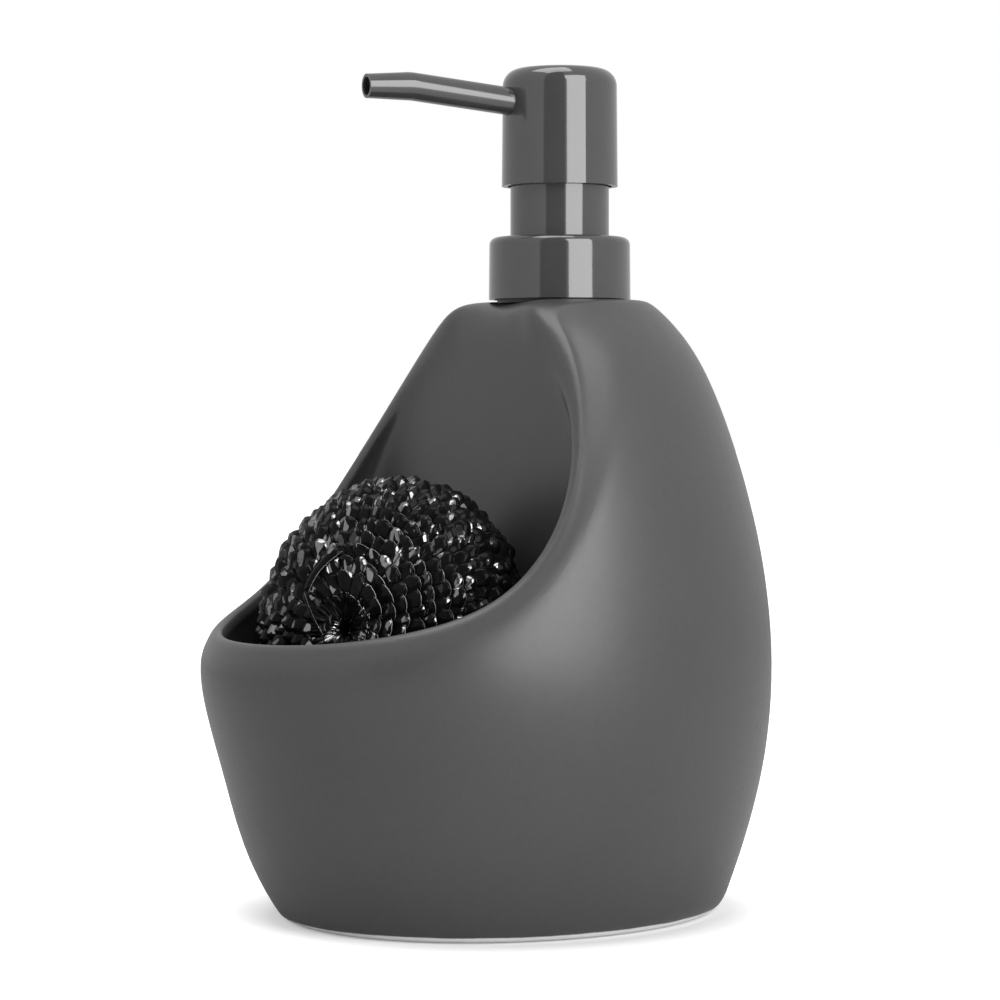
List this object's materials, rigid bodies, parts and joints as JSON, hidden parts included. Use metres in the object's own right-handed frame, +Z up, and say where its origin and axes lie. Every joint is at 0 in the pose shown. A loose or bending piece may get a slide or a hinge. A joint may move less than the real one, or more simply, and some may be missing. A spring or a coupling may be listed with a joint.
{
  "type": "soap pump caddy",
  "caption": "Egg-shaped ceramic soap dispenser with an open front pouch that holds a scouring ball, and a screw-on lotion pump whose head presses down and swivels.",
  "frame": {"origin": "centre of the oval foot, on the surface that the caddy stands on", "axes": "+Z up; the pouch opens towards -Y; +X is to the right of someone who faces the pouch"},
  "size_m": [0.1194, 0.1353, 0.1945],
  "materials": {
    "ceramic": "matte dark grey glaze",
    "pump_gloss": "glossy dark grey",
    "pump_plain": "natural plastic",
    "seal": "soft, pale grey",
    "steel": "bright",
    "scourer": "black knitted ribbon"
  },
  "bodies": {
    "caddy": {"ceramic_body": "ceramic"},
    "plug": {"neck_plug": "pump_plain"},
    "pump": {"pump_housing": "pump_plain", "chaplet": "pump_plain", "stem_wiper": "seal", "guide_sleeve": "pump_gloss", "dip_tube": "pump_plain", "ball_cage": "pump_plain", "neck_gasket": "seal", "return_spring": "steel"},
    "closure": {"collar_shell": "pump_gloss", "closure_cap": "pump_plain"},
    "piston": {"piston_seal": "seal"},
    "head": {"valve_rod": "pump_plain", "piston_stem": "pump_plain", "head_core": "pump_plain", "head_shell": "pump_gloss", "spout_tube": "pump_gloss"},
    "inlet_valve": {"inlet_ball": "steel"},
    "outlet_valve": {"outlet_ball": "steel"},
    "ball": {"scrubber": "scourer"}
  },
  "joints": [
    {"name": "plug_pull", "type": "slide", "parent": "caddy", "child": "plug", "axis": [0, 0, 1], "range_m": [0, 0.14]},
    {"name": "pump_rise", "type": "slide", "parent": "plug", "child": "pump", "axis": [0, 0, 1], "range_m": [0, 0.0063]},
    {"name": "collar_turn", "type": "hinge", "parent": "pump", "child": "closure", "pos_m": [0, 0.0155, 0.148], "axis": [0, 0, 1], "range_deg": [0, 540]},
    {"name": "head_press", "type": "slide", "parent": "pump", "child": "piston", "axis": [0, 0, -1], "range_m": [0, 0.0109], "stiffness_N_per_m": 800, "springref_m": -0.01, "deforming": ["return_spring"]},
    {"name": "head_swivel", "type": "hinge", "parent": "piston", "child": "head", "pos_m": [0, 0.0155, 0.18], "axis": [0, 0, 1], "continuous": true},
    {"name": "inlet_lift", "type": "slide", "parent": "pump", "child": "inlet_valve", "axis": [0, 0, 1], "range_m": [0, 0.0022]},
    {"name": "outlet_lift", "type": "slide", "parent": "head", "child": "outlet_valve", "axis": [0, 0, 1], "range_m": [0, 0.003]},
    {"name": "ball_lift", "type": "slide", "parent": "caddy", "child": "ball", "axis": [0, -0.5, 0.866], "range_m": [0, 0.12]}
  ],
  "couplings": [
    {"joint": "pump_rise", "follows": "collar_turn", "m_per_rad": 0.00066845}
  ]
}
